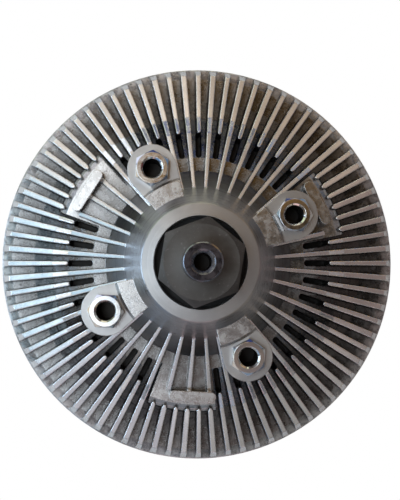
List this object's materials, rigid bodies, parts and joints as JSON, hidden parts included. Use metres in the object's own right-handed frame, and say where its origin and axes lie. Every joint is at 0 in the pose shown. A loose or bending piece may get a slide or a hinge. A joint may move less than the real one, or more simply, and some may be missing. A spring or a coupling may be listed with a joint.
{
  "type": "viscous fan clutch",
  "caption": "Finned viscous clutch that drives an engine cooling fan: hexagon input shaft with threaded stud, fan lugs with nuts, and a bimetal coil that works the fluid valve.",
  "frame": {"origin": "on the shaft axis, in the plane of the front cover's fin tips", "axes": "+Z along the shaft axis towards the rear (engine) side, where the hexagon and the threaded stud are; +X lies 27 degrees clockwise of the first fan lug, seen from the rear"},
  "size_m": [0.194, 0.194, 0.1051],
  "materials": {
    "cast_aluminium": "as cast",
    "rotor_aluminium": "machined",
    "zinc_steel": "bright zinc",
    "oxide_steel": "dark phosphate",
    "bearing_steel": "ground",
    "sheet_steel": "rolled",
    "spring_steel": "hardened",
    "bimetal": "rolled",
    "black_rubber": "matt",
    "cage_plastic": "matt"
  },
  "bodies": {
    "housing": {"rear_housing": "cast_aluminium", "front_cover": "cast_aluminium", "cover_seal": "black_rubber", "fan_nuts": "zinc_steel", "bearing_outer_ring": "bearing_steel", "bearing_seal_rear": "black_rubber", "bearing_seal_front": "black_rubber", "bearing_retaining_ring": "spring_steel", "pump_plate": "sheet_steel", "coil_bracket": "sheet_steel", "bracket_rivets": "zinc_steel", "bimetal_coil": "bimetal"},
    "shaft": {"input_shaft": "oxide_steel", "bearing_inner_ring": "bearing_steel", "shaft_retaining_ring": "spring_steel", "rotor": "rotor_aluminium"},
    "cage": {"bearing_cage": "cage_plastic", "bearing_balls": "bearing_steel"},
    "valve": {"valve_shaft": "zinc_steel", "valve_arm": "spring_steel", "valve_seal": "black_rubber"}
  },
  "joints": [
    {"name": "shaft_spin", "type": "hinge", "parent": "housing", "child": "shaft", "pos_m": [0, 0, 0.0647], "axis": [0, 0, 1], "continuous": true},
    {"name": "cage_spin", "type": "hinge", "parent": "housing", "child": "cage", "pos_m": [0, 0, 0.0647], "axis": [0, 0, 1], "continuous": true},
    {"name": "valve_turn", "type": "hinge", "parent": "housing", "child": "valve", "pos_m": [0, 0, 0.0145], "axis": [0, 0, 1], "range_deg": [0, 30], "stiffness_Nm_per_rad": 0.05, "deforming": ["bimetal_coil"]}
  ],
  "couplings": [
    {"joint": "cage_spin", "follows": "shaft_spin", "ratio": 0.39688}
  ]
}
